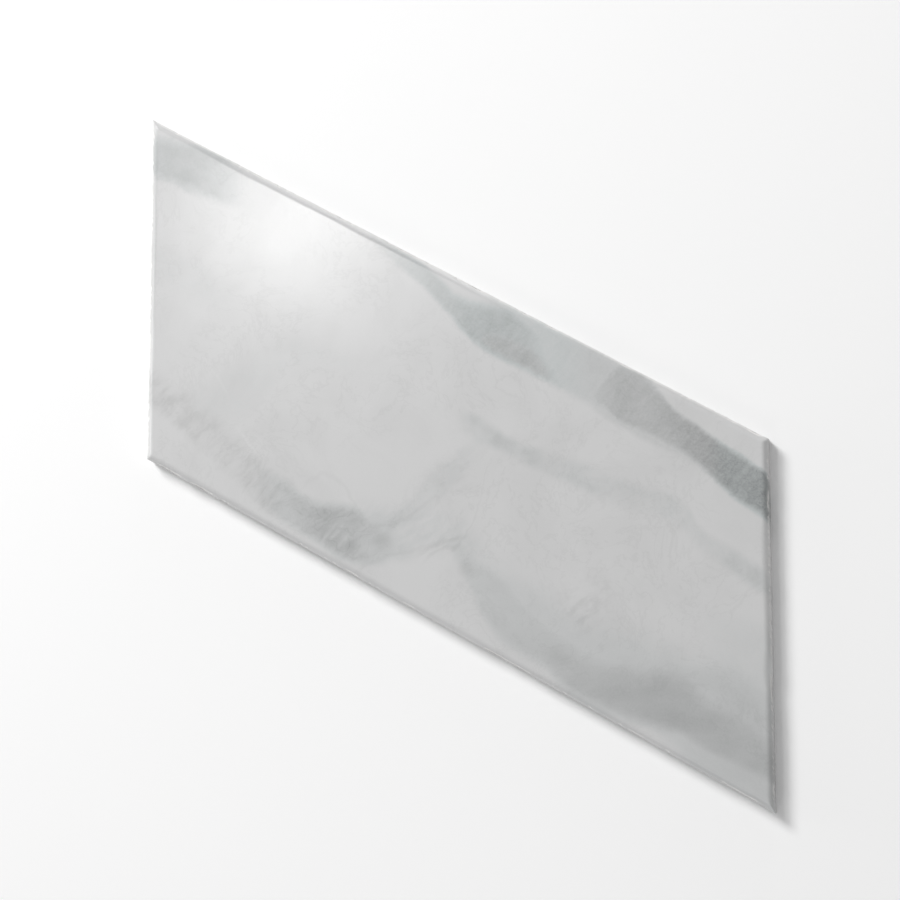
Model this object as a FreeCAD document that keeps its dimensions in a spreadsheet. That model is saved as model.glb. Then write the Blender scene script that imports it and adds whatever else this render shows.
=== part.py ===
import FreeCAD, Part
import Sketcher
import math
import os

# Chevron wall tile: one flat parallelogram of white marble, sawn square at its back and sides and
# polished on its face. Laid in columns beside its mirror image, it makes the zigzag.
# Frame: the origin is the middle of the back, +Z points out of the polished face and +Y runs along
# the two upright seam sides. The long sides fall towards +X. Lengths are in mm, angles in degrees.

NODE = "chevron_tile"

# Each driving size: its name, its value and what it measures.
SIZES = [
    ("ColumnWidth", 303.4, "square across the column, between the two upright seam sides"),
    ("PlankWidth", 150.0, "square across the plank, between its two long sides"),
    ("SlopeAngle", 29.2, "fall of the long sides below a level line"),
    ("Thickness", 10.0, "from the back to the polished face"),
    ("BevelWidth", 2.5, "edge bevel, measured across the face"),
    ("BevelDepth", 2.0, "edge bevel, measured down the side"),
    ("RollRadius", 3.0, "roll of the polished face into the bevel"),
]

# The roll uses at most this share of the bevel's own slope.
ROLL_SHARE = 0.9

# Two heights closer than this are the same height.
TOLERANCE = 1e-6


def make_sizes(doc):
    """Put the driving sizes in a spreadsheet, with an alias on each value."""
    sheet = doc.addObject("Spreadsheet::Sheet", "Sizes")
    for row, (name, value, meaning) in enumerate(SIZES, start=1):
        sheet.set(f"A{row}", name)
        sheet.set(f"B{row}", str(value))
        sheet.set(f"C{row}", meaning)
        sheet.setAlias(f"B{row}", name)
    doc.recompute()
    return sheet


def outline_corners(sheet):
    """The tile's corners in plan, clockwise from the upper left one, with their middle at the origin."""
    slope = math.radians(sheet.SlopeAngle)
    seam = sheet.PlankWidth / math.cos(slope)
    right = sheet.ColumnWidth / 2
    top = (seam + sheet.ColumnWidth * math.tan(slope)) / 2
    corners = [(-right, top), (right, seam - top), (right, -top), (-right, top - seam)]
    return [FreeCAD.Vector(x, y, 0) for x, y in corners]


def dimension(sketch, name, constraint, expression):
    """Add a named dimension to the sketch, bound to an expression of the sizes."""
    index = sketch.addConstraint(constraint)
    sketch.renameConstraint(index, name)
    sketch.setExpression(f"Constraints.{name}", expression)


def make_outline(body, sheet):
    """Sketch the parallelogram on the plane of the back."""
    sketch = body.newObject("Sketcher::SketchObject", "Outline")
    back = next(item for item in body.Origin.OriginFeatures if item.Role == "XY_Plane")
    sketch.AttachmentSupport = (back, [""])
    sketch.MapMode = "FlatFace"

    corners = outline_corners(sheet)
    sides = zip(corners, corners[1:] + corners[:1])
    upper, right, lower, left = [sketch.addGeometry(Part.LineSegment(*side), False) for side in sides]
    for line, following in ((upper, right), (right, lower), (lower, left), (left, upper)):
        sketch.addConstraint(Sketcher.Constraint("Coincident", line, 2, following, 1))
    sketch.addConstraint(Sketcher.Constraint("Vertical", left))
    sketch.addConstraint(Sketcher.Constraint("Vertical", right))
    sketch.addConstraint(Sketcher.Constraint("Parallel", upper, lower))
    sketch.addConstraint(Sketcher.Constraint("Symmetric", upper, 1, lower, 1, -1, 1))

    across, fall = corners[1].x - corners[0].x, corners[0].y - corners[1].y
    column_width = Sketcher.Constraint("DistanceX", upper, 1, upper, 2, across)
    dimension(sketch, "ColumnWidth", column_width, "Sizes.ColumnWidth")
    column_fall = Sketcher.Constraint("DistanceY", upper, 2, upper, 1, fall)
    dimension(sketch, "ColumnFall", column_fall, "Sizes.ColumnWidth * tan(Sizes.SlopeAngle * 1 deg)")
    plank_width = Sketcher.Constraint("Distance", lower, 2, upper, sheet.PlankWidth)
    dimension(sketch, "PlankWidth", plank_width, "Sizes.PlankWidth")
    return sketch


def edges_at(feature, height):
    """Names of the feature's edges that lie level at this height."""
    names = []
    for number, edge in enumerate(feature.Shape.Edges, start=1):
        if all(abs(vertex.Z - height) < TOLERANCE for vertex in edge.Vertexes):
            names.append(f"Edge{number}")
    return names


def make_slab(body, sheet):
    """Saw the slab: the outline at full thickness."""
    slab = body.newObject("PartDesign::Pad", "Slab")
    slab.Profile = make_outline(body, sheet)
    slab.setExpression("Length", "Sizes.Thickness")
    return slab


def make_bevel(body, slab, sheet):
    """Bevel the four edges of the face, mitred at the corners."""
    bevel = body.newObject("PartDesign::Chamfer", "Bevel")
    bevel.Base = (slab, edges_at(slab, sheet.Thickness))
    bevel.ChamferType = "Two distances"
    bevel.setExpression("Size", "Sizes.BevelDepth")
    bevel.setExpression("Size2", "Sizes.BevelWidth")
    return bevel


def make_roll(body, bevel, sheet):
    """Roll the polished face softly into the bevel."""
    roll = body.newObject("PartDesign::Fillet", "Roll")
    roll.Base = (bevel, edges_at(bevel, sheet.Thickness))
    slope_length = "sqrt(Sizes.BevelWidth ^ 2 + Sizes.BevelDepth ^ 2)"
    half_turn = "(atan(Sizes.BevelDepth / Sizes.BevelWidth) / 2)"
    largest = f"{ROLL_SHARE} * {slope_length} / tan{half_turn}"
    roll.setExpression("Radius", f"min(Sizes.RollRadius; {largest})")
    return roll


def make_tile(doc, sheet):
    """Build the tile as one body."""
    body = doc.addObject("PartDesign::Body", "ChevronTile")
    body.Label = NODE
    body.Placement = FreeCAD.Placement()
    slab = make_slab(body, sheet)
    doc.recompute()
    bevel = make_bevel(body, slab, sheet)
    doc.recompute()
    make_roll(body, bevel, sheet)
    doc.recompute()
    return body


def check(doc, body, sheet):
    """Stop if a feature failed, or if the bevel doesn't have its stated width and depth."""
    for item in doc.Objects:
        if {"Invalid", "Error"} & set(item.State):
            raise RuntimeError(f"{item.Label} failed: {item.State}")
    shape = body.Shape
    if shape.isNull() or not shape.isValid() or len(shape.Solids) != 1:
        raise RuntimeError(f"{body.Label} is not one valid solid")
    side_top = sheet.Thickness - sheet.BevelDepth
    if not edges_at(body, side_top):
        raise RuntimeError(f"{body.Label} has no bevel that starts {sheet.BevelDepth} mm down its side")


def main():
    doc = FreeCAD.newDocument("ChevronWallTile")
    sheet = make_sizes(doc)
    tile = make_tile(doc, sheet)
    check(doc, tile, sheet)
    os.makedirs("parts", exist_ok=True)
    tile.Shape.exportStep(f"parts/{tile.Label}.step")
    print(f"{tile.Label}: {tile.Shape.Volume:.1f} mm3, box {tile.Shape.BoundBox}")


main()
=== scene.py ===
import math
import random

import bmesh
import bpy
from mathutils import Matrix, Vector, noise


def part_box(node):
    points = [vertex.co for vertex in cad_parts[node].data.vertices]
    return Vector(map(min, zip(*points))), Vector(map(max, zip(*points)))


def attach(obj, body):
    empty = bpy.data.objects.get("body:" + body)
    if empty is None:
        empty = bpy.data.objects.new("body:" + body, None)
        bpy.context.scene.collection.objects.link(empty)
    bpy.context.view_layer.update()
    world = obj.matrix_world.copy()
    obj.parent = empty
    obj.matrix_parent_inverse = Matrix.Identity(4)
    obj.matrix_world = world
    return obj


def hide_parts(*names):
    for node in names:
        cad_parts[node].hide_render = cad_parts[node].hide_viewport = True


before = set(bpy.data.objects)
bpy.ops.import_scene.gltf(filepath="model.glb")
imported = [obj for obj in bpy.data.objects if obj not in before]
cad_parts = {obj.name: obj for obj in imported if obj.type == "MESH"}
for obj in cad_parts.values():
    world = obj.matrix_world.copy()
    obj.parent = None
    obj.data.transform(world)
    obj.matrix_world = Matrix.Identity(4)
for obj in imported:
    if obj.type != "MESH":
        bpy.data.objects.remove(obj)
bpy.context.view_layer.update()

# One marble tile of a chevron wall, lying flat with its polished face up.
# Lengths are in metres, except in the shader, which works in millimetres.

MM = 0.001
NODE = "chevron_tile"

# Edge bevel and its roll into the face, as on the CAD solid.
BEVEL_WIDTH = 2.5 * MM
ROLL_RADIUS = 3.0 * MM

# Rounding of the bevel's lower arris and of the back's, which the solid leaves sharp.
ARRIS_RADIUS = 0.35 * MM
BACK_ARRIS = 0.12 * MM

# Spacing of the mesh along the edges, and how often it halves towards the middle.
COLUMN_SPACING = 0.8 * MM
HALVINGS = 3

# Rows of mesh up the side, round the arris, across the bevel and round the roll.
SIDE_ROWS, ARRIS_ROWS, BEVEL_ROWS, ROLL_ROWS = 8, 4, 4, 5
# A ring this far past the roll keeps the face's shading flat.
FLAT_RING = 0.3 * MM

# Two places closer than this are the same.
NEAR = 0.01 * MM


# Shape of the tile, read from the CAD node


def outline_corners(vertices):
    """Corners of the back, clockwise from the upper left one."""
    back = [v.co for v in vertices if v.co.z < NEAR]
    left, right = min(p.x for p in back), max(p.x for p in back)
    left_ys = [p.y for p in back if p.x < left + NEAR]
    right_ys = [p.y for p in back if p.x > right - NEAR]
    return [
        Vector((left, max(left_ys), 0)),
        Vector((right, max(right_ys), 0)),
        Vector((right, min(right_ys), 0)),
        Vector((left, min(left_ys), 0)),
    ]


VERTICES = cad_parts[NODE].data.vertices
CORNERS = outline_corners(VERTICES)
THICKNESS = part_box(NODE)[1].z
SIDE_TOP = max(v.co.z for v in VERTICES if v.co.x > CORNERS[1].x - NEAR)
LENGTHS = [(CORNERS[(k + 1) % 4] - CORNERS[k]).length for k in range(4)]
ALONG = [(CORNERS[(k + 1) % 4] - CORNERS[k]).normalized() for k in range(4)]
INWARD = [Vector((a.y, -a.x, 0)) for a in ALONG]
SLOPE = math.atan2(-ALONG[0].y, ALONG[0].x)


def side_count(length):
    """Mesh columns along a side: a multiple that can be halved down to the middle."""
    step = 2**HALVINGS
    return step * round(length / COLUMN_SPACING / step)


COUNTS = [side_count(length) for length in LENGTHS]


def mitre(k, inset):
    """Corner k of the outline after all four sides move inwards by this much."""
    before, after = INWARD[k - 1], INWARD[k]
    return CORNERS[k] + (before + after) * (inset / (1 + before.dot(after)))


# Section of the edge


def edge_section():
    """The edge as (inset, height), from the back arris up to the flat of the face."""
    tilt = math.atan2(THICKNESS - SIDE_TOP, BEVEL_WIDTH)
    arris_turn = math.pi / 2 - tilt
    arris_start = SIDE_TOP - ARRIS_RADIUS * math.tan(arris_turn / 2)
    section = [(BACK_ARRIS, 0.0), (0.0, BACK_ARRIS)]
    for row in range(1, SIDE_ROWS + 1):
        section.append((0.0, BACK_ARRIS + (arris_start - BACK_ARRIS) * row / SIDE_ROWS))
    for row in range(1, ARRIS_ROWS + 1):
        turn = arris_turn * row / ARRIS_ROWS
        inset = ARRIS_RADIUS * (1 - math.cos(turn))
        section.append((inset, arris_start + ARRIS_RADIUS * math.sin(turn)))
    roll_reach = ROLL_RADIUS * math.tan(tilt / 2)
    start = section[-1]
    end = (BEVEL_WIDTH - roll_reach * math.cos(tilt), THICKNESS - roll_reach * math.sin(tilt))
    for row in range(1, BEVEL_ROWS + 1):
        share = row / BEVEL_ROWS
        section.append(tuple(a + (b - a) * share for a, b in zip(start, end)))
    roll_end = BEVEL_WIDTH + roll_reach
    for row in range(1, ROLL_ROWS + 1):
        turn = tilt * (1 - row / ROLL_ROWS)
        drop = ROLL_RADIUS * (1 - math.cos(turn))
        section.append((roll_end - ROLL_RADIUS * math.sin(turn), THICKNESS - drop))
    section.append((roll_end + FLAT_RING, THICKNESS))
    section.append((roll_end + BEVEL_WIDTH, THICKNESS))
    return section


# Wear: a slightly wandering saw line, uneven bevel, stone lost along the arrises, and a whiter arris
# that is partly bruise and partly painted highlight

# Kinds of loss: (number on a long side, number on a seam side, half lengths, depths).
SPALLS = (9, 4, (2.5 * MM, 8 * MM), (0.25 * MM, 0.6 * MM))
CHIPS = (30, 34, (0.5 * MM, 1.4 * MM), (0.15 * MM, 0.45 * MM))
BACK_CHIPS = (40, 20, (0.6 * MM, 3 * MM), (0.2 * MM, 0.7 * MM))
WEAR_SEED = 29
# A loss reaches this far from its arris, and takes this share of its depth inwards and upright.
LOSS_REACH = 1.3 * MM
LOSS_INWARDS, LOSS_UPRIGHT = 0.9, 0.45
# A loss this shallow is left out, and one deeper than the second depth is wholly fresh stone.
LEAST_LOSS = 0.02 * MM
FRESH_DEPTH = 0.25 * MM
# A loss lowers the edge from this far below the bevel's arris, and lifts the back up to this height.
DROP_BELOW_ARRIS = 0.1 * MM
LIFT_HEIGHT = 0.5 * MM
# Raggedness along a loss, with its wavelength, and grit over it.
RAGGED, RAGGED_LENGTH, GRIT = 0.35, 0.9 * MM, 0.3

# Waves along an edge, each as (seed, wavelength, height), and the mean that they swing about: how
# far the saw line runs inside the outline, the bevel's extra share of width, and the bruise with its
# painted highlight.
SAW_WAVES = [(1, 45 * MM, 0.11 * MM), (11, 6 * MM, 0.025 * MM)]
SAW_MEAN = 0.135 * MM
WIDTH_WAVES = [(21, 30 * MM, 0.16), (31, 7 * MM, 0.05)]
WIDTH_MEAN = 0.05
BRUISE_AND_HIGHLIGHT_WAVES = [(41, 2.5 * MM, 0.5)]
BRUISE_AND_HIGHLIGHT_MEAN = 0.85
# The wear fades out this far from the corners.
END_FADE = 4 * MM

# How bruised the arris is on the upper, right, lower and left side. This whitening is partly a
# bruise and partly a painted highlight, strongest on the upper and left sides, which face the key
# light.
BRUISE_AND_HIGHLIGHT_BY_SIDE = (0.8, 0.25, 0.25, 0.7)
# The bruise and painted highlight start this far below the arris, are whole up to this inset and
# fade over this width.
BRUISE_AND_HIGHLIGHT_BELOW_ARRIS, BRUISE_AND_HIGHLIGHT_INSET, BRUISE_AND_HIGHLIGHT_FADE = 0.3 * MM, 0.25 * MM, 0.8 * MM
# Where the bevel bulges into the face: (side, place along it, half length, share wider).
BULGES = [(1, 109 * MM, 9 * MM, 0.3), (1, 52 * MM, 14 * MM, 0.12), (3, 60 * MM, 12 * MM, 0.15)]
# The bevel's uneven width acts up to this inset.
WIDTH_REACH = 1.8 * BEVEL_WIDTH


def ripple(seed, along, wavelength):
    """Smooth noise from -1 to 1 along an edge."""
    return noise.noise(Vector((along / wavelength, seed * 7.3, seed * 3.1)))


def waves(k, along, table):
    """Sum of the table's waves at this place on side k."""
    return sum(height * ripple(k + seed, along, length) for seed, length, height in table)


def make_nicks(rng, k, kind):
    """Random losses of one kind along side k, each as (place, half length, depth)."""
    long_count, seam_count, half_lengths, depths = kind
    nicks = []
    for _ in range(seam_count if k % 2 else long_count):
        place = rng.uniform(0.02, 0.98) * LENGTHS[k]
        nicks.append((place, rng.uniform(*half_lengths), rng.uniform(*depths)))
    return nicks


def edge_wear():
    """For each side: losses on the bevel's arris and on the back arris."""
    rng = random.Random(WEAR_SEED)
    wear = []
    for k in range(len(LENGTHS)):
        front = make_nicks(rng, k, SPALLS) + make_nicks(rng, k, CHIPS)
        wear.append({"front": front, "back": make_nicks(rng, k, BACK_CHIPS)})
    return wear


WEAR = edge_wear()


def loss_at(nicks, along):
    """Depth of stone lost at this place on an edge."""
    deepest = 0.0
    for place, half, depth in nicks:
        reach = abs(along - place) / half
        if reach < 1:
            ragged = 1 + RAGGED * ripple(place / MM, along, RAGGED_LENGTH)
            deepest = max(deepest, depth * (1 - reach**2) ** 0.75 * ragged)
    return deepest


def felt_loss(loss, inset, height):
    """What is left of a loss at this inset and height from its arris."""
    if loss <= LEAST_LOSS:
        return 0.0
    return loss * max(0.0, 1 - math.hypot(inset, height) / LOSS_REACH) ** 0.7


def end_fade(along, length):
    """0 at the corners, 1 a few millimetres away from them."""
    return min(1.0, along / END_FADE, (length - along) / END_FADE)


def bulge_at(k, along):
    """Extra share of bevel width at this place along side k."""
    extra = 0.0
    for side, place, half, share in BULGES:
        if side == k and abs(along - place) < half:
            extra += share * (1 - ((along - place) / half) ** 2)
    return extra


def worn_section(k, along, section):
    """The edge section at one place along side k, as (extra inset, height, share of broken stone and
    painted arris highlight).
    """
    fade = end_fade(along, LENGTHS[k])
    wander = fade * (SAW_MEAN + waves(k, along, SAW_WAVES))
    widening = fade * (WIDTH_MEAN + waves(k, along, WIDTH_WAVES) + bulge_at(k, along))
    # The whiter arris is partly a bruise and partly a painted highlight, strongest on the lit sides.
    bruise_and_highlight = fade * BRUISE_AND_HIGHLIGHT_BY_SIDE[k] * (BRUISE_AND_HIGHLIGHT_MEAN + waves(k, along, BRUISE_AND_HIGHLIGHT_WAVES))
    front = fade * loss_at(WEAR[k]["front"], along)
    back = fade * loss_at(WEAR[k]["back"], along)
    worn = []
    for inset, height in section:
        near_face = min(1.0, inset / (BEVEL_WIDTH + ROLL_RADIUS))
        extra = wander * (1 - near_face)
        if 0 < inset < WIDTH_REACH and height > SIDE_TOP:
            extra += inset * widening
        front_felt = felt_loss(front, inset, height - SIDE_TOP)
        back_felt = felt_loss(back, inset, height)
        grit = 1 + GRIT * noise.noise(Vector((along / MM, height / MM * 2, k * 5.7)))
        extra += LOSS_INWARDS * (front_felt + back_felt) * grit
        moved = height
        if height > SIDE_TOP - DROP_BELOW_ARRIS:
            moved -= LOSS_UPRIGHT * front_felt * grit
        if height < LIFT_HEIGHT:
            moved += LOSS_UPRIGHT * back_felt * grit
        broken_and_highlight = min(1.0, max(front_felt, back_felt) / FRESH_DEPTH)
        # The painted arris highlight is added to the share of broken stone here.
        if height > SIDE_TOP - BRUISE_AND_HIGHLIGHT_BELOW_ARRIS:
            past = max(0.0, inset - BRUISE_AND_HIGHLIGHT_INSET)
            broken_and_highlight = max(broken_and_highlight, bruise_and_highlight * max(0.0, 1 - past / BRUISE_AND_HIGHLIGHT_FADE))
        worn.append((extra, moved, broken_and_highlight))
    return worn


# Mesh of the tile


class TileMesh:
    """Grows the tile ring by ring. A ring is four lists of vertices, one a side, that share corners."""

    def __init__(self):
        self.bm = bmesh.new()
        # Per vertex: the share of broken stone and of painted highlight along the arris.
        self.broken_and_highlight = self.bm.verts.layers.float.new("broken_and_highlight")

    def ring(self, inset, height, counts):
        """A level ring at an inset from the outline, with this many columns on each side."""
        corners = [self.bm.verts.new(mitre(k, inset) + Vector((0, 0, height))) for k in range(4)]
        sides = []
        for k, count in enumerate(counts):
            start, end = corners[k], corners[(k + 1) % 4]
            between = [self.bm.verts.new(start.co.lerp(end.co, j / count)) for j in range(1, count)]
            sides.append([start, *between, end])
        return sides

    def stitch(self, outer, inner, material, flip=False):
        """Join two rings. Where the inner one has half as many columns, it takes two at a time."""
        for far, close in zip(outer, inner):
            if len(far) == len(close):
                faces = [(far[j], far[j + 1], close[j + 1], close[j]) for j in range(len(close) - 1)]
            else:
                faces = []
                for j in range(len(close) - 1):
                    a, b, c = far[2 * j : 2 * j + 3]
                    faces += [(a, b, close[j]), (b, c, close[j + 1]), (b, close[j + 1], close[j])]
            for face in faces:
                self.face(face, material, flip)

    def face(self, verts, material, flip=False):
        made = self.bm.faces.new(verts if flip else verts[::-1])
        made.material_index = material
        made.smooth = True

    def fill(self, ring, material, height_at, flip=False):
        """Fill a ring with a grid whose lines join opposite sides."""
        top, right, bottom, left = ring
        rows, columns = len(right) - 1, len(top) - 1
        grid = [list(top)]
        for row in range(1, rows):
            start, end = left[::-1][row], right[row]
            line = [start]
            for column in range(1, columns):
                place = start.co.lerp(end.co, column / columns)
                place.z = height_at(place)
                line.append(self.bm.verts.new(place))
            grid.append([*line, end])
        grid.append(bottom[::-1])
        for upper, lower in zip(grid, grid[1:]):
            for j in range(columns):
                self.face((upper[j], upper[j + 1], lower[j + 1], lower[j]), material, flip)


# Material slots on the mesh.
POLISHED, SAWN = 0, 1
# Inside the edge, the rings lie further and further apart, by one step more each time.
FACE_RING_STEP = 1.6 * MM
BACK_RING_START, BACK_RING_STEP = 0.8 * MM, 1.0 * MM
# Edges that turn by more than this are shaded sharp.
SHARP_ANGLE = math.radians(50)


def build_edges(tile):
    """The worn edge band all round. Returns its lowest and its highest ring."""
    section = edge_section()
    rings = [tile.ring(inset, height, COUNTS) for inset, height in section]
    for k, count in enumerate(COUNTS):
        for column in range(1, count):
            along = LENGTHS[k] * column / count
            for ring, (extra, height, broken_and_highlight) in zip(rings, worn_section(k, along, section)):
                vert = ring[k][column]
                vert.co += INWARD[k] * extra
                vert.co.z = height
                vert[tile.broken_and_highlight] = broken_and_highlight
    for (lower, (_, height)), upper in zip(zip(rings, section), rings[1:]):
        tile.stitch(lower, upper, POLISHED if height > SIDE_TOP - ARRIS_RADIUS else SAWN)
    return rings[0], rings[-1]


def build_face(tile, edge):
    """The flat polished face, in rings that get coarser inwards and then a grid."""
    inset = edge_section()[-1][0]
    counts = COUNTS
    for step in range(1, HALVINGS + 1):
        counts = [count // 2 for count in counts]
        inset += step * FACE_RING_STEP
        ring = tile.ring(inset, THICKNESS, counts)
        tile.stitch(edge, ring, POLISHED)
        edge = ring
    tile.fill(edge, POLISHED, lambda place: THICKNESS)


SAW_MARK_DEPTH = 0.16 * MM


def saw_mark(place):
    """Height of the sawn back: shallow furrows along the plank, as a frame saw leaves them."""
    across = place.dot(INWARD[0]) / MM
    run = place.dot(ALONG[0]) / MM
    sway = 0.8 * math.sin(run / 70) + 0.4 * noise.noise(Vector((run / 35, 0.5, 9.1)))
    furrow = 0.5 + 0.5 * noise.noise(Vector(((across + sway) / 2.6, run / 400, 4.2)))
    swell = 0.5 + 0.5 * noise.noise(Vector(((across + sway) / 17, run / 160, 1.7)))
    return SAW_MARK_DEPTH * (0.65 * furrow + 0.35 * swell)


def build_back(tile, edge):
    """The sawn back: fine across the plank, where the saw marks are, and coarse along it."""
    inset = BACK_RING_START
    long_count, seam_count = COUNTS[0], COUNTS[1]
    for step in range(HALVINGS + 1):
        ring = tile.ring(inset, 0.0, [long_count, seam_count] * 2)
        for vert in {v for side in ring for v in side}:
            vert.co.z = saw_mark(vert.co) * min(1.0, (step + 1) / 2)
        tile.stitch(edge, ring, SAWN, flip=True)
        edge = ring
        long_count //= 2
        inset += (step + 1) * BACK_RING_STEP
    tile.fill(edge, SAWN, saw_mark, flip=True)


def build_tile(materials):
    """The whole tile as one closed mesh."""
    tile = TileMesh()
    low, high = build_edges(tile)
    build_face(tile, high)
    build_back(tile, low)
    mesh = bpy.data.meshes.new("marble_tile")
    tile.bm.normal_update()
    tile.bm.to_mesh(mesh)
    tile.bm.free()
    mesh.set_sharp_from_angle(angle=SHARP_ANGLE)
    for material in materials:
        mesh.materials.append(material)
    piece = bpy.data.objects.new("marble_tile", mesh)
    bpy.context.scene.collection.objects.link(piece)
    return piece


# Shader nodes


def srgb(red, green, blue):
    """A colour of 0 to 255 as linear values with alpha."""
    values = []
    for value in (red, green, blue):
        share = value / 255
        values.append(share / 12.92 if share <= 0.04045 else ((share + 0.055) / 1.055) ** 2.4)
    return (*values, 1.0)


class Tree:
    """Short calls that add linked nodes to a node tree."""

    def __init__(self, tree):
        self.tree = tree

    def add(self, kind, **settings):
        node = self.tree.nodes.new(kind)
        for name, value in settings.items():
            setattr(node, name, value)
        return node

    def feed(self, socket, value):
        """Link a socket to another one, or set its value."""
        if isinstance(value, bpy.types.NodeSocket):
            self.tree.links.new(value, socket)
        elif value is not None:
            socket.default_value = value

    def math(self, operation, a, b=None, c=None):
        node = self.add("ShaderNodeMath", operation=operation)
        for socket, value in zip(node.inputs, (a, b, c)):
            self.feed(socket, value)
        return node.outputs[0]

    def vector(self, operation, a, b=None, scale=None):
        node = self.add("ShaderNodeVectorMath", operation=operation)
        self.feed(node.inputs[0], a)
        self.feed(node.inputs[1], b)
        self.feed(node.inputs[3], scale)
        return node.outputs[0]

    def part(self, vector, axis):
        node = self.add("ShaderNodeSeparateXYZ")
        self.feed(node.inputs[0], vector)
        return node.outputs[axis]

    def flat(self, vector):
        """The vector with its height taken out."""
        return self.vector("MULTIPLY", vector, (1, 1, 0))

    def length(self, vector):
        node = self.add("ShaderNodeVectorMath", operation="LENGTH")
        self.feed(node.inputs[0], vector)
        return node.outputs["Value"]

    def turned(self, vector, squeeze, rise):
        """Coordinates along and across a line that rises this many degrees, each squeezed."""
        node = self.add("ShaderNodeVectorRotate", rotation_type="Z_AXIS")
        self.feed(node.inputs["Vector"], vector)
        node.inputs["Angle"].default_value = math.radians(-rise)
        return self.vector("MULTIPLY", node.outputs[0], (*squeeze, 1.0))

    def ramp(self, value, low, high, to_low=0.0, to_high=1.0, smooth=True):
        """Value from low to high becomes to_low to to_high, and stays there outside."""
        kind = "SMOOTHSTEP" if smooth else "LINEAR"
        node = self.add("ShaderNodeMapRange", interpolation_type=kind, clamp=True)
        numbers = {"From Min": low, "From Max": high, "To Min": to_low, "To Max": to_high}
        for name, number in numbers.items():
            self.feed(node.inputs[name], number)
        self.feed(node.inputs["Value"], value)
        return node.outputs[0]

    def noise(self, place, size, detail=2.0, roughness=0.5, output="Fac"):
        """Noise with features of about this size in millimetres."""
        node = self.add("ShaderNodeTexNoise")
        self.feed(node.inputs["Vector"], place)
        node.inputs["Scale"].default_value = 1 / size
        node.inputs["Detail"].default_value = detail
        node.inputs["Roughness"].default_value = roughness
        return node.outputs[output]

    def shift(self, place, size, reach, detail=2.0, roughness=0.5):
        """Push a place about by noise, up to about this many millimetres."""
        colour = self.noise(place, size, detail, roughness, "Color")
        centred = self.vector("SUBTRACT", colour, (0.5, 0.5, 0.5))
        return self.vector("ADD", place, self.vector("SCALE", centred, scale=2 * reach))

    def bump(self, height, distance, strength):
        """A normal that follows a height."""
        node = self.add("ShaderNodeBump")
        node.inputs["Distance"].default_value = distance
        node.inputs["Strength"].default_value = strength
        self.feed(node.inputs["Height"], height)
        return node.outputs["Normal"]

    def curve(self, value, points, low, high):
        """A smooth curve through points (x, y), level beyond its ends, for y from low to high."""
        node = self.add("ShaderNodeFloatCurve")
        line = node.mapping.curves[0]
        scaled = [((x - WEST) / (EAST - WEST), (y - low) / (high - low)) for x, y in points]
        line.points[0].location = (0, scaled[0][1])
        line.points[1].location = (1, scaled[-1][1])
        for place in scaled:
            if 0 < place[0] < 1:
                line.points.new(*place)
        node.mapping.update()
        self.feed(node.inputs["Value"], value)
        return self.ramp(node.outputs[0], 0, 1, low, high, smooth=False)


# Veins, drawn on the face in millimetres. Each is a list of (x, low, high, darkness): x is measured
# across the column, low and high are the vein's edges as upright levels from the plank's centre
# line, and darkness is the share by which the vein is darker than the ground.

WEST, EAST = -156.0, 156.0

MAIN_START = [
    (-48, 83, 90, 0.0), (-36, 80, 90, 0.025), (-24, 77, 88, 0.05), (-14, 73, 85, 0.07),
    (-6, 69, 81, 0.09), (2, 64, 78, 0.06), (12, 60, 74, 0.0),
]
MAIN_BODY = [
    (-12, 72, 78, 0.0), (-3, 67.5, 77, 0.08), (6, 61.5, 76, 0.105), (14, 58.5, 78, 0.118),
    (23, 57.5, 80, 0.12), (31, 57.5, 82, 0.112), (39, 57.5, 81, 0.09), (48, 58, 79, 0.04),
    (56, 58, 79, 0.0),
]
MAIN_KEEL = [
    (8, 61, 68, 0.0), (18, 59, 69, 0.10), (28, 58.5, 70, 0.13), (38, 58, 70, 0.135),
    (45, 58, 69, 0.11), (52, 58, 67, 0.065), (60, 58, 66, 0.045), (70, 58, 66, 0.03),
    (80, 58, 66, 0.0),
]
MAIN_LIGHT = [
    (14, 60, 84, 0.0), (26, 60, 92, 0.035), (38, 60, 94, 0.042), (50, 59, 94, 0.048),
    (62, 58, 94, 0.052), (74, 57, 94, 0.055), (84, 57, 92, 0.035), (94, 57, 88, 0.0),
]
MAIN_TAIL = [
    (82, 57.5, 82, 0.0), (92, 58, 83, 0.10), (100, 58, 81, 0.12), (108, 58, 77, 0.138),
    (116, 57, 74, 0.16), (124, 55, 72, 0.19), (130, 52.5, 71, 0.2), (137, 49.5, 70, 0.205),
    (145, 48, 68.5, 0.22), (153, 48, 68, 0.24),
]
MAIN_CLUB = [
    (62, 60, 64, 0.0), (69, 60, 66, 0.055), (74, 59, 71, 0.09), (79, 58, 79, 0.11),
    (84, 57, 85, 0.12), (90, 58, 87, 0.114), (98, 59, 84, 0.105), (108, 59, 78, 0.0),
]
MAIN_FRINGE = [
    (60, 57, 66, 0.0), (72, 55.5, 66, 0.035), (88, 54.5, 66, 0.045), (102, 54.5, 64, 0.04),
    (114, 54.5, 62, 0.03), (124, 52, 60, 0.0),
]
CORNER_PATCH = [
    (-156, 56, 77, 0.085), (-147, 58, 79, 0.095), (-137, 60, 81, 0.115), (-128, 61, 84, 0.115),
    (-118, 62, 87, 0.088), (-108, 63, 89, 0.045), (-96, 64, 90, 0.0),
]
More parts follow.
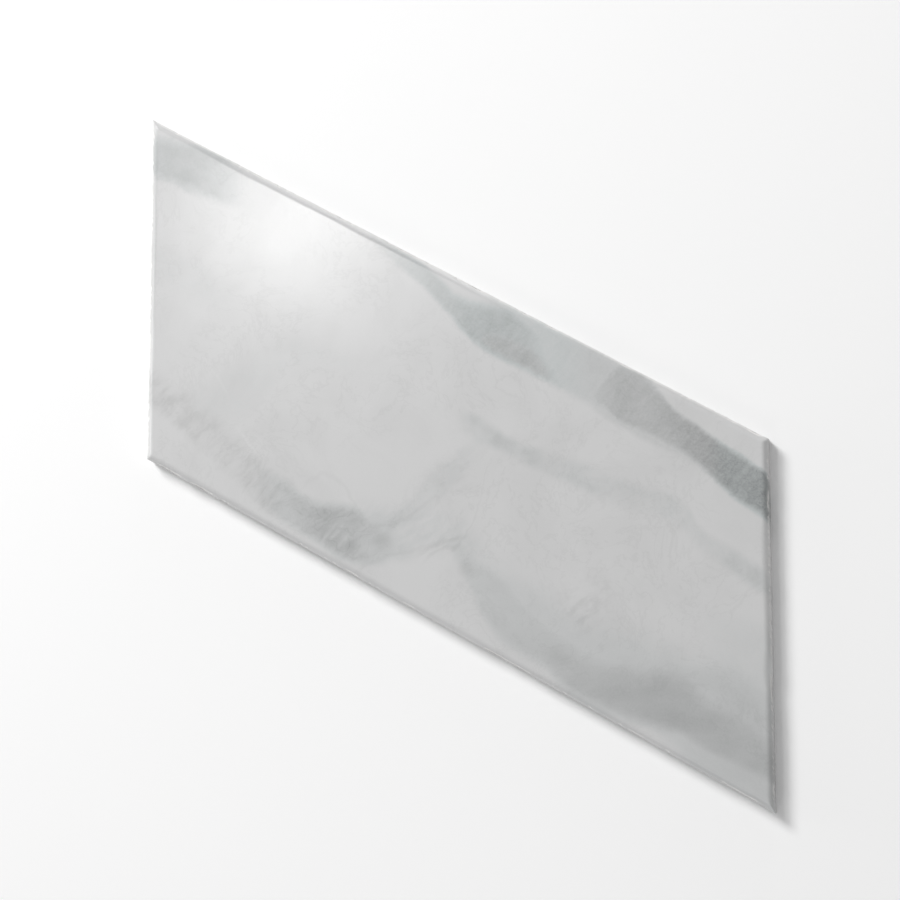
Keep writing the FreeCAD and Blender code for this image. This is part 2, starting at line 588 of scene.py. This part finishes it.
FAINT_VEIN = [
    (2, 14, 20, 0.0), (9, 12, 22, 0.025), (16, 11, 23, 0.06), (22, 12, 22, 0.06),
    (30, 13, 21, 0.046), (40, 14, 22, 0.046), (52, 15, 24, 0.044), (62, 15, 27, 0.04),
    (72, 16, 29, 0.034), (84, 18, 31, 0.025), (94, 20, 32, 0.025), (104, 22, 35, 0.032),
    (112, 21, 35, 0.026), (120, 17, 26, 0.036), (132, 15, 24, 0.05), (143, 13, 23, 0.06),
    (153, 12, 22, 0.06),
]
LACE_WEST = [
    (-156, -58, -43, 0.04), (-146, -59, -42, 0.035), (-134, -62, -44, 0.034),
    (-122, -66, -46, 0.034), (-110, -70, -50, 0.034), (-98, -75, -54, 0.034),
    (-88, -78, -56, 0.028), (-76, -78, -58, 0.0),
]
LACE_EAST = [
    (-106, -75, -57, 0.0), (-97, -76, -57, 0.01), (-88, -78, -58, 0.034), (-79, -79, -59, 0.066),
    (-70, -79.5, -61.5, 0.108), (-62, -80, -60.5, 0.13), (-56, -80.5, -58.5, 0.136),
    (-50, -80.5, -56, 0.134), (-45, -79, -54.5, 0.11), (-39, -76, -57, 0.078),
    (-33, -72.5, -57, 0.064), (-27, -67.5, -56, 0.042), (-20, -64, -55, 0.028),
    (-12, -60, -52, 0.0),
]
LOW_HEAD = [
    (-2, -50, -42, 0.0), (5, -53, -43, 0.024), (11, -60, -44, 0.044), (17, -70, -45, 0.048),
    (24, -76, -46, 0.055), (32, -78, -49, 0.055), (42, -78, -55, 0.06), (50, -79, -58, 0.068),
    (58, -79, -60, 0.05), (68, -79, -66, 0.0),
]
LOW_BODY = [
    (36, -76, -64, 0.0), (46, -79, -60, 0.062), (56, -81, -60, 0.1), (66, -82, -61.5, 0.115),
    (78, -81, -59.5, 0.127), (90, -78.5, -55, 0.142), (102, -76.5, -49, 0.15),
    (112, -75.5, -47, 0.138), (122, -75.5, -50, 0.118), (134, -75, -51, 0.106),
    (145, -73.5, -52, 0.11), (154, -73, -52, 0.11),
]
# Haze under the lower vein; its east end, down to the lower edge, is painted shade.
LOW_HAZE_AND_PAINTED_SHADE = [
    (4, -60, -36, 0.0), (16, -68, -40, 0.03), (32, -72, -42, 0.036), (48, -74, -44, 0.04),
    (66, -74, -46, 0.042), (84, -74, -42, 0.048), (102, -80, -38, 0.055), (118, -86, -40, 0.052),
    (134, -86, -34, 0.05), (154, -86, -38, 0.046),
]
# Faint hazes that hang between the veins, and painted shade that darkens the lower right.
WEST_HAZE = [
    (-156, 4, 22, 0.012), (-140, 6, 26, 0.018), (-124, 6, 28, 0.018), (-110, 6, 28, 0.012),
    (-96, 6, 26, 0.0),
]
# Painted shade, not a haze in the stone: darker towards the lower right of the face.
EAST_PAINTED_SHADE = [
    (100, -84, -14, 0.0), (114, -84, -10, 0.008), (128, -84, -8, 0.018), (140, -84, -6, 0.026),
    (153, -84, -4, 0.03),
]
SLANT_HAZE = [
    (-136, -58, -40, 0.0), (-124, -52, -34, 0.016), (-112, -48, -24, 0.018),
    (-100, -36, -10, 0.018), (-90, -20, 2, 0.018), (-78, -4, 14, 0.016), (-64, 4, 18, 0.014),
    (-48, 8, 20, 0.012), (-34, 10, 20, 0.0),
]
MIDDLE_HAZE = [
    (-52, -66, -50, 0.0), (-40, -62, -48, 0.024), (-27, -58, -43, 0.026), (-14, -54, -37, 0.026),
    (-2, -51, -33, 0.028), (8, -46, -31, 0.026), (18, -44, -32, 0.0),
]
RISING_HAZE = [
    (-46, -60, -54, 0.0), (-33, -58, -50, 0.026), (-20, -47, -38, 0.022), (-12, -38, -24, 0.022),
    (-5, -28, -12, 0.026), (2, -18, -2, 0.026), (8, -8, 7, 0.022), (15, 2, 13, 0.012),
    (24, 10, 20, 0.0),
]
# Hairlines: (x, level, darkness).
HAIRLINES = [
    [(-48, -86, 0.0), (-40, -78, 0.018), (-30, -68, 0.02), (-18, -58, 0.022), (-8, -50, 0.02),
     (2, -42, 0.0)],
    [(-20, -62, 0.0), (-14, -57, 0.02), (-6, -49, 0.034), (2, -43, 0.034), (8, -38, 0.012),
     (13, -33, 0.0)],
    [(-15, -62, 0.0), (-9, -56, 0.022), (-3, -50, 0.03), (3, -46, 0.028), (9, -44, 0.0)],
    [(0, -48, 0.0), (6, -42, 0.02), (12, -30, 0.018), (16, -16, 0.016), (19, -2, 0.014),
     (23, 8, 0.0)],
    [(-74, -58, 0.0), (-67, -51, 0.012), (-59, -44, 0.014), (-52, -45, 0.014), (-46, -51, 0.014),
     (-41, -57, 0.0)],
    [(128, -16, 0.0), (133, -6, 0.012), (138, 3, 0.016), (143, 12, 0.016), (150, 19, 0.0)],
    [(-40, -57, 0.0), (-30, -53, 0.03), (-21, -44, 0.026), (-13, -34, 0.02), (-2, -24, 0.0)],
]
HEALED_CRACKS = [
    [(-106, -46, 0.0), (-102, -48, 0.014), (-96, -52, 0.014), (-90, -55, 0.0)],
    [(-120, -24, 0.0), (-117, -25, 0.008), (-111, -31, 0.008), (-107, -36, 0.0)],
    [(-63, -79, 0.0), (-61, -76, 0.036), (-56, -69, 0.036), (-54, -66, 0.0)],
    [(-59, -77, 0.0), (-57, -74, 0.034), (-53, -68, 0.034), (-51, -65, 0.0)],
    [(-55, -78, 0.0), (-53, -75, 0.032), (-49, -69, 0.03), (-47, -66, 0.0)],
]
HAIR_WIDTH = 1.2
# Top of the darkness scale in the curves.
DARKEST = 0.3
# Blue-green cast of the main vein, as the share of red it lacks at each x.
CAST = [
    (-156, 0.03), (-120, 0.02), (-60, 0.02), (0, 0.036), (14, 0.046), (30, 0.043), (50, 0.042),
    (62, 0.03), (72, 0.015), (85, 0.012), (118, 0.012), (127, 0.024), (135, 0.045), (153, 0.045),
]
# Round spots: (x, y, radius, darkness).
SPOTS = [
    (18.5, 9.0, 5.0, 0.02), (-47, -46, 5.0, 0.03), (-32, -44.5, 7.0, 0.045), (9, -58, 5.5, 0.035),
    (51, -101, 8.0, 0.02),
]
# Patches of broken blotches: (x, y, radius, darkness).
BLOTCHES = [(67, -76, 20, 0.05), (2, -16, 17, 0.03), (107, -38, 9, 0.02)]
# The clouds and the curled wisps of the ground at their darkest.
CLOUD_DARKNESS = 0.021
WISP_DARKNESS = 0.019
# How far the veins move along and across the face for each millimetre down.
VEIN_LEAN = (0.35, 0.8, 0.0)


def face_coordinates(t, source):
    """Share of the way east, and level above the plank's centre line."""
    x = t.part(source, "X")
    level = t.math("MULTIPLY_ADD", x, math.tan(SLOPE), t.part(source, "Y"))
    return t.ramp(x, WEST, EAST, smooth=False), level


class Stone:
    """Places in the stone in millimetres, pushed about for ever more ragged veins."""

    def __init__(self, t):
        # The veins lean through the thickness, so they move as they go down.
        self.place = t.vector("SCALE", t.add("ShaderNodeTexCoord").outputs["Object"], scale=1 / MM)
        depth = t.math("SUBTRACT", THICKNESS / MM, t.part(self.place, "Z"))
        self.leaning = t.vector("ADD", self.place, t.vector("SCALE", VEIN_LEAN, scale=depth))
        self.swayed = t.shift(self.leaning, 30, 1.6, detail=1.0)
        self.ragged = t.shift(self.swayed, 8, 1.3, detail=3.0, roughness=0.6)
        self.crinkled = t.shift(self.swayed, 7, 2.4, detail=2.0, roughness=0.5)
        feathered = t.shift(self.ragged, 1.8, 0.5, detail=2.0, roughness=0.6)
        torn = t.shift(feathered, 5, 2.4, detail=3.0, roughness=0.65)
        self.plain = face_coordinates(t, self.ragged)
        self.fine = face_coordinates(t, self.crinkled)
        self.feathery = face_coordinates(t, feathered)
        self.torn = face_coordinates(t, torn)
        self.mottle = t.ramp(t.noise(self.ragged, 14, 3.0, 0.6), 0.3, 0.7, 0.8, 1.2)


def vein(t, where, points, soft_low, soft_high):
    """Darkness of one vein at a place, with its two edges softened by this many millimetres."""
    x, level = where
    low = t.curve(x, [(p[0], p[1]) for p in points], -100, 100)
    high = t.curve(x, [(p[0], p[2]) for p in points], -100, 100)
    depth = t.curve(x, [(p[0], p[3]) for p in points], 0, DARKEST)
    above = t.ramp(t.math("SUBTRACT", level, low), -soft_low, soft_low)
    below = t.ramp(t.math("SUBTRACT", high, level), -soft_high, soft_high)
    return t.math("MULTIPLY", depth, t.math("MULTIPLY", above, below))


def hairline(t, where, points):
    """Darkness of one hairline at a place."""
    x, level = where
    path = t.curve(x, [(p[0], p[1]) for p in points], -100, 100)
    depth = t.curve(x, [(p[0], p[2]) for p in points], 0, DARKEST)
    away = t.math("ABSOLUTE", t.math("SUBTRACT", level, path))
    return t.math("MULTIPLY", depth, t.ramp(away, 0.2 * HAIR_WIDTH, 1.6 * HAIR_WIDTH, 1, 0))


def patch(t, place, x, y, radius):
    """A round patch: 1 in its middle, 0 outside."""
    away = t.length(t.vector("SUBTRACT", t.flat(place), (x, y, 0)))
    return t.ramp(away, 0.15 * radius, radius, 1, 0)


GROUND_ALBEDO = 0.64
# A vein's darkness is judged as it shows on a display, so it counts on a display's scale.
EYE = 2.2
# Stone that is freshly broken, which also paints the highlight along the lit arrises, dust on sawn
# stone, and the floor, as colours of 0 to 255.
FRESH_BREAK_AND_HIGHLIGHT = srgb(238, 237, 235)
SAW_DUST = srgb(203, 203, 201)
FLOOR_WHITE = srgb(247, 247, 247)
STONE_IOR = 1.5


def main_vein(t, stone):
    """The blue-green vein along the upper side, and its keel alone."""
    keel = vein(t, stone.torn, MAIN_KEEL, 2.8, 7.5)
    main = keel
    for where, points, soft_low, soft_high in (
        (stone.feathery, MAIN_START, 3.0, 3.0),
        (stone.feathery, MAIN_BODY, 2.8, 4.5),
        (stone.feathery, MAIN_LIGHT, 3.8, 3.0),
        (stone.torn, MAIN_CLUB, 2.6, 3.4),
        (stone.feathery, MAIN_TAIL, 3.2, 2.4),
        (stone.feathery, MAIN_FRINGE, 2.0, 2.0),
    ):
        main = t.math("MAXIMUM", main, vein(t, where, points, soft_low, soft_high))
    main = t.math("MULTIPLY", main, t.ramp(stone.mottle, 0.8, 1.2, 0.93, 1.07, smooth=False))

    # Inside it: rising strokes, threads along it, and crystal grain that shows where it is densest.
    rising = t.noise(t.turned(stone.ragged, (0.3, 1.0), 48), 2.6, 3.0, 0.6)
    hatch = t.ramp(rising, 0.3, 0.7, 0.87, 1.13)
    falling = t.noise(t.turned(stone.crinkled, (0.16, 1.0), -32), 5.0, 3.0, 0.55)
    strand = t.ramp(t.math("ABSOLUTE", t.math("SUBTRACT", falling, 0.5)), 0.0, 0.03, 1.12, 1.0)
    sugar = t.math("SUBTRACT", t.noise(stone.place, 1.3, 2.0, 0.7), 0.5)
    sugar = t.math("MULTIPLY_ADD", sugar, t.ramp(main, 0.05, 0.14, 0.2, 0.65), 1)
    for texture in (hatch, strand, sugar):
        main = t.math("MULTIPLY", main, texture)
    return main, keel


def grey_bands_and_painted_shade(t, stone):
    """The greyer veins and hazes, softer and more clouded than the main vein, and painted shade at the
    lower right.
    """
    bands_and_shade = vein(t, stone.plain, FAINT_VEIN, 3.6, 3.6)
    uneven = t.ramp(t.noise(stone.ragged, 13, 3.0, 0.6), 0.3, 0.7, 0.6, 1.35)
    bands_and_shade = t.math("MULTIPLY", bands_and_shade, uneven)
    # The east one is painted shade that darkens the lower right; the other two are hazes.
    for points in (WEST_HAZE, EAST_PAINTED_SHADE, SLANT_HAZE):
        bands_and_shade = t.math("ADD", bands_and_shade, vein(t, stone.plain, points, 7.0, 7.0))
    bands_and_shade = t.math("ADD", bands_and_shade, vein(t, stone.fine, RISING_HAZE, 3.5, 3.5))

    low = vein(t, stone.plain, LOW_HEAD, 5.0, 7.0)
    low = t.math("MAXIMUM", low, vein(t, stone.plain, LOW_BODY, 4.5, 10.0))
    # This haze is partly painted shade, where its east end reaches the lower edge.
    low = t.math("MAXIMUM", low, vein(t, stone.plain, LOW_HAZE_AND_PAINTED_SHADE, 7.0, 13.0))
    drawn_out = t.noise(t.turned(stone.ragged, (0.45, 1.0), 0), 12, 3.0, 0.55)
    low = t.math("MULTIPLY", low, t.ramp(drawn_out, 0.3, 0.7, 0.86, 1.14))
    return t.math("MULTIPLY_ADD", bands_and_shade, stone.mottle, low)


def feathered_strokes(t, stone):
    """Rising strokes where two veins meet, and in the west end of the lace vein."""
    strokes = t.noise(t.turned(stone.crinkled, (0.3, 1.0), 38), 3.0, 3.0, 0.6)
    meeting = vein(t, stone.plain, MIDDLE_HAZE, 6.0, 8.0)
    meeting = t.math("MULTIPLY", meeting, t.ramp(strokes, 0.3, 0.7, 0.5, 1.5))
    west = vein(t, stone.plain, LACE_WEST, 4.0, 7.0)
    west = t.math("MULTIPLY", west, t.ramp(strokes, 0.32, 0.68, 0.5, 1.55))
    tufts = t.noise(t.turned(stone.crinkled, (0.4, 1.0), 52), 7.0, 2.0, 0.5)
    west = t.math("MULTIPLY", west, t.ramp(tufts, 0.38, 0.62, 0.66, 1.38))
    return meeting, west


def lace_vein(t, stone):
    """The lace vein's east end: broad strokes, and curled threads along a noise's contour lines."""
    brush = t.noise(t.turned(stone.crinkled, (0.3, 1.0), 30), 3.4, 2.0, 0.55)
    clots = t.ramp(brush, 0.32, 0.66, 0.82, 1.13)
    swirl = t.noise(stone.crinkled, 12, 2.0)
    contour = t.math("ABSOLUTE", t.math("SINE", t.math("MULTIPLY", swirl, 20)))
    threads = t.ramp(contour, 0.0, 0.5, 1.2, 0.95)
    lace = vein(t, stone.feathery, LACE_EAST, 3.5, 4.5)
    return t.math("MULTIPLY", lace, t.math("MULTIPLY", threads, clots))


def add_small_marks(t, stone, total):
    """Add hairlines, healed cracks, round spots and broken blotches to the darkness."""
    for points in HAIRLINES:
        total = t.math("ADD", total, hairline(t, stone.fine, points))
    for points in HEALED_CRACKS:
        total = t.math("SUBTRACT", total, hairline(t, stone.plain, points))
    for x, y, radius, darkness in SPOTS:
        total = t.math("MULTIPLY_ADD", patch(t, stone.ragged, x, y, radius), darkness, total)
    blotch = t.noise(t.turned(stone.crinkled, (0.5, 1.0), 30), 5.0, 3.0, 0.6)
    blotch = t.ramp(blotch, 0.4, 0.7)
    for x, y, radius, darkness in BLOTCHES:
        spread = t.math("MULTIPLY", patch(t, stone.swayed, x, y, radius), blotch)
        total = t.math("MULTIPLY_ADD", spread, darkness, total)
    return total


def ground(t, stone):
    """Darkness of the ground between the veins: broad clouds and faint curled wisps."""
    drifting = t.shift(stone.leaning, 45, 20, detail=1.0)
    cloud = t.ramp(t.noise(drifting, 34, 4.0, 0.55), 0.40, 0.72, 0, CLOUD_DARKNESS)
    wisps = t.noise(t.shift(drifting, 12, 5, detail=2.0), 15, 4.0, 0.65)
    wisps = t.math("ABSOLUTE", t.math("SUBTRACT", wisps, 0.5))
    wisps = t.ramp(wisps, 0.0, 0.032, WISP_DARKNESS, 0)
    wisps = t.math("MULTIPLY", wisps, t.ramp(t.noise(stone.leaning, 38, 1.0), 0.38, 0.6))
    return t.math("ADD", cloud, wisps)


def figure_group():
    """The marble's figure through the whole body, as a colour and its place in millimetres."""
    group = bpy.data.node_groups.new("marble_figure", "ShaderNodeTree")
    group.interface.new_socket("Color", in_out="OUTPUT", socket_type="NodeSocketColor")
    group.interface.new_socket("Place", in_out="OUTPUT", socket_type="NodeSocketVector")
    t = Tree(group)
    out = t.add("NodeGroupOutput")
    stone = Stone(t)

    main, keel = main_vein(t, stone)
    corner = t.math("MULTIPLY", vein(t, stone.torn, CORNER_PATCH, 4.0, 4.5), stone.mottle)
    main_and_corner = t.math("ADD", main, corner)
    meeting, west = feathered_strokes(t, stone)
    bands_and_shade = t.math("ADD", grey_bands_and_painted_shade(t, stone), meeting)
    lace = lace_vein(t, stone)

    total = main_and_corner
    for darkness in (bands_and_shade, west, lace, ground(t, stone)):
        total = t.math("ADD", total, darkness)
    total = add_small_marks(t, stone, total)
    # The crystal's grain shows more where the stone is darker.
    grain = t.math("SUBTRACT", t.noise(stone.place, 0.9, 2.0, 0.7), 0.5)
    total = t.math("MULTIPLY_ADD", grain, t.math("MULTIPLY_ADD", total, 0.3, 0.018), total)

    # Less red in the veins, and greyer where the main vein is densest.
    cast = t.curve(stone.plain[0], CAST, 0, 0.06)
    cast = t.math("MULTIPLY", cast, t.ramp(main_and_corner, 0.0, 0.07))
    cast = t.math("MULTIPLY", cast, t.ramp(keel, 0.06, 0.12, 1, 0.45))
    cast = t.math("ADD", cast, t.ramp(t.math("ADD", bands_and_shade, lace), 0.0, 0.05, 0, 0.014))
    value = t.math("MULTIPLY", t.math("POWER", t.math("SUBTRACT", 1, total), EYE), GROUND_ALBEDO)
    colour = t.add("ShaderNodeCombineColor")
    t.feed(colour.inputs["Red"], t.math("MULTIPLY", value, t.math("SUBTRACT", 1, cast)))
    t.feed(colour.inputs["Green"], value)
    t.feed(colour.inputs["Blue"], value)
    t.feed(out.inputs["Color"], colour.outputs["Color"])
    t.feed(out.inputs["Place"], stone.place)
    return group


def new_material(name):
    """A material with only its Principled shader, and short calls for its tree."""
    material = bpy.data.materials.new(name)
    material.use_nodes = True
    return material, Tree(material.node_tree), material.node_tree.nodes["Principled BSDF"]


def polished_marble(figure):
    """Satin polish on the face and bevel, a sugary break where stone is lost, and a whiter arris that
    is partly bruise, partly painted highlight.
    """
    material, t, shader = new_material("marble_polished")
    marble = t.add("ShaderNodeGroup", node_tree=figure)
    place = marble.outputs["Place"]
    broken_and_highlight = t.add("ShaderNodeAttribute", attribute_type="GEOMETRY", attribute_name="broken_and_highlight")
    broken_and_highlight = broken_and_highlight.outputs["Fac"]
    # Whiter where stone is broken, and along the lit arrises as a painted highlight.
    fresh_and_highlight = t.add("ShaderNodeMix", data_type="RGBA")
    t.feed(fresh_and_highlight.inputs["Factor"], t.math("MULTIPLY", broken_and_highlight, 0.8))
    t.feed(fresh_and_highlight.inputs["A"], marble.outputs["Color"])
    t.feed(fresh_and_highlight.inputs["B"], FRESH_BREAK_AND_HIGHLIGHT)
    t.feed(shader.inputs["Base Color"], fresh_and_highlight.outputs["Result"])
    polish = t.ramp(t.noise(place, 24, 3.0), 0.3, 0.7, 0.214, 0.231)
    t.feed(shader.inputs["Roughness"], t.math("MULTIPLY_ADD", broken_and_highlight, 0.3, polish))
    crystal = t.math("MULTIPLY", t.noise(place, 0.7, 2.0, 0.6), broken_and_highlight)
    t.feed(shader.inputs["Normal"], t.bump(crystal, 0.15 * MM, 0.5))
    shader.inputs["IOR"].default_value = STONE_IOR
    return material


def sawn_marble(figure):
    """Matt sawn sides and back, slightly chalky, with fine saw scratches."""
    material, t, shader = new_material("marble_sawn")
    marble = t.add("ShaderNodeGroup", node_tree=figure)
    place = marble.outputs["Place"]
    dust = t.add("ShaderNodeMix", data_type="RGBA")
    t.feed(dust.inputs["Factor"], t.ramp(t.noise(place, 3.0, 4.0, 0.7), 0.3, 0.7, 0.15, 0.4))
    t.feed(dust.inputs["A"], marble.outputs["Color"])
    t.feed(dust.inputs["B"], SAW_DUST)
    streaks = t.noise(t.vector("MULTIPLY", place, (0.04, 0.04, 1.6)), 1.0, 4.0, 0.7)
    shade = t.ramp(streaks, 0.32, 0.68, 0.91, 1.05)
    t.feed(shader.inputs["Base Color"], t.vector("SCALE", dust.outputs["Result"], scale=shade))
    shader.inputs["Roughness"].default_value = 0.75
    shader.inputs["IOR"].default_value = STONE_IOR
    scratches = t.noise(t.vector("MULTIPLY", place, (0.08, 0.08, 2.2)), 1.0, 3.0, 0.6)
    pits = t.noise(place, 0.8, 3.0, 0.7)
    relief = t.math("MULTIPLY_ADD", scratches, 1.2, pits)
    t.feed(shader.inputs["Normal"], t.bump(relief, 0.2 * MM, 0.6))
    return material


# Stage

FLOOR_HALF_WIDTH = 25.0
FLOOR_GAP = 0.05 * MM
UPRIGHT = Vector((0, 1, 0))


def build_floor():
    """A wide pale matt floor, just under the tile."""
    material, _, shader = new_material("pale_floor")
    shader.inputs["Base Color"].default_value = FLOOR_WHITE
    shader.inputs["Roughness"].default_value = 0.9
    shader.inputs["Emission Color"].default_value = (1, 1, 1, 1)
    shader.inputs["Emission Strength"].default_value = 0.06
    mesh = bpy.data.meshes.new("floor")
    bm = bmesh.new()
    bmesh.ops.create_grid(bm, x_segments=8, y_segments=8, size=FLOOR_HALF_WIDTH)
    bm.to_mesh(mesh)
    bm.free()
    mesh.materials.append(material)
    floor = bpy.data.objects.new("floor", mesh)
    floor.location.z = -FLOOR_GAP
    bpy.context.scene.collection.objects.link(floor)


def aim(thing, target, up=UPRIGHT):
    """Turn a camera or light at its place towards a target, with its top towards up."""
    back = (thing.location - target).normalized()
    right = up.cross(back).normalized()
    top = back.cross(right)
    turn = Matrix((right, top, back)).transposed()
    thing.rotation_euler = turn.to_euler()


CENTRE = Vector((0, 0, THICKNESS / 2))
# Direction from the tile to the camera, 14 degrees off the square view, as in the photo.
VIEW = Vector((0.199, -0.124, 0.972)).normalized()
CAMERA_DISTANCE = 1.02
LENS, SENSOR_WIDTH = 85.0, 36.0


def build_camera():
    """The camera, which looks at the tile as the photo does."""
    camera = bpy.data.cameras.new("camera")
    camera.lens = LENS
    camera.sensor_width = SENSOR_WIDTH
    holder = bpy.data.objects.new("camera", camera)
    holder.location = CENTRE + VIEW * CAMERA_DISTANCE
    aim(holder, CENTRE)
    bpy.context.scene.collection.objects.link(holder)
    bpy.context.scene.camera = holder


# The sun and the key light shine from the same place.
SUN_PLACE = Vector((-1.1, 1.2, 1.3))
SUN_POWER, SUN_ANGLE = 0.8, math.radians(24)
WORLD_POWER = 0.333
# Area lights: (name, place, width, height, power, target, direction of its top).
SOFTBOXES = [
    ("key", SUN_PLACE, 0.6, 0.6, 20, CENTRE, UPRIGHT),
    ("strip", Vector((0.3, 1.6, 0.25)), 0.4, 0.4, 1.6, CENTRE, UPRIGHT),
    ("fill", Vector((-0.4, -1.5, 1.3)), 0.9, 0.9, 3, CENTRE, UPRIGHT),
    ("rim", Vector((-1.6, 0.2, 0.3)), 0.5, 0.5, 2.2, CENTRE, UPRIGHT),
]
# The window-like light that the face mirrors at its upper left, tilted as the highlight is.
GLOW_TARGET, GLOW_TOP = Vector((-0.07, 0.11, 0)), Vector((-0.41, 0.91, 0))
SOFTBOXES.append(("glow", Vector((-0.417, 0.425, 1.25)), 0.17, 0.09, 1.92, GLOW_TARGET, GLOW_TOP))


def place_light(light, place, target, top):
    """Put a light in the scene, turned towards its target."""
    lamp = bpy.data.objects.new(light.name, light)
    lamp.location = place
    aim(lamp, target, top)
    bpy.context.scene.collection.objects.link(lamp)


def build_light():
    """A sun, the area lights and an even white sky."""
    sun = bpy.data.lights.new("sun", "SUN")
    sun.energy = SUN_POWER
    sun.angle = SUN_ANGLE
    place_light(sun, SUN_PLACE, CENTRE, UPRIGHT)
    for name, place, width, height, power, target, top in SOFTBOXES:
        light = bpy.data.lights.new(name, "AREA")
        light.shape = "RECTANGLE"
        light.size, light.size_y = width, height
        light.energy = power
        place_light(light, place, target, top)
    world = bpy.data.worlds.new("studio")
    world.use_nodes = True
    background = world.node_tree.nodes["Background"]
    background.inputs["Color"].default_value = (1, 1, 1, 1)
    background.inputs["Strength"].default_value = WORLD_POWER
    bpy.context.scene.world = world
    bpy.context.scene.view_settings.view_transform = "Standard"


FIGURE = figure_group()
tile = build_tile([polished_marble(FIGURE), sawn_marble(FIGURE)])
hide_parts(NODE)
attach(tile, "root")
build_floor()
build_camera()
build_light()
